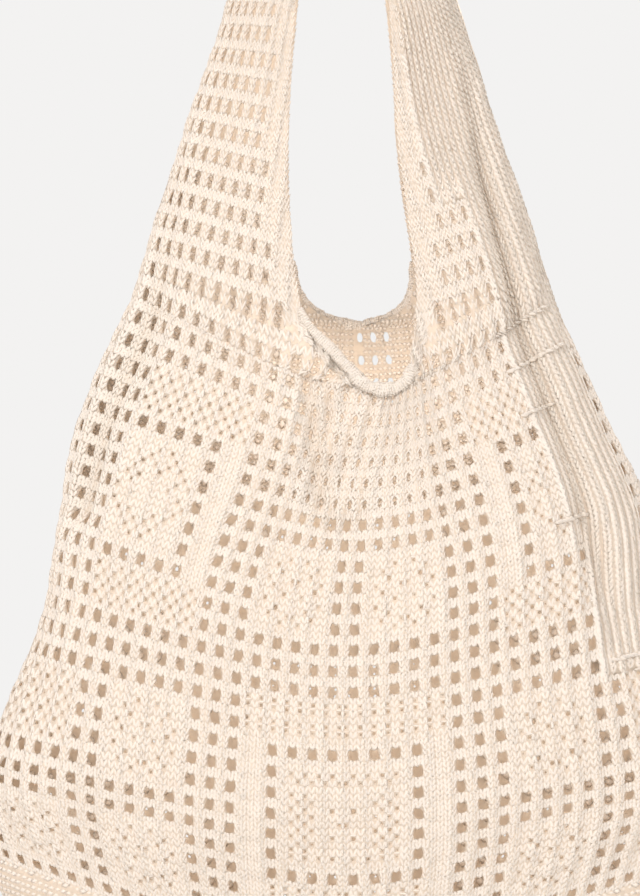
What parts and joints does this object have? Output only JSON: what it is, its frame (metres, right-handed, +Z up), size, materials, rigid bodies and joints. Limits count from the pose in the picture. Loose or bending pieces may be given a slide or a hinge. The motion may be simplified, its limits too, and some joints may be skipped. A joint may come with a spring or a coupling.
{
  "type": "crochet bag",
  "caption": "Slouchy open-work knitted shoulder bag with eyelet panels, a ribbed base and rolled neckline edges, whose sides rise into one folded strap loop; shown hanging.",
  "frame": {"origin": "under the top of the strap, on the inner face of its fold, where a shoulder or hook carries it", "axes": "+Z up, +X to the right seen from the front, +Y from the front panel to the back panel"},
  "size_m": [0.396, 0.1232, 0.608],
  "materials": {
    "panel_knit": "matte cream cotton, open eyelet knit",
    "strap_knit": "matte cream cotton, narrow eyelet knit",
    "base_knit": "matte cream cotton, ridged knit",
    "rim_knit": "matte cream cotton, rolled rib edge"
  },
  "bodies": {
    "root": {"front_panel": "panel_knit", "back_panel": "panel_knit", "base": "base_knit", "left_strap": "strap_knit", "right_strap": "strap_knit", "front_rim": "rim_knit", "back_rim": "rim_knit"}
  },
  "joints": []
}
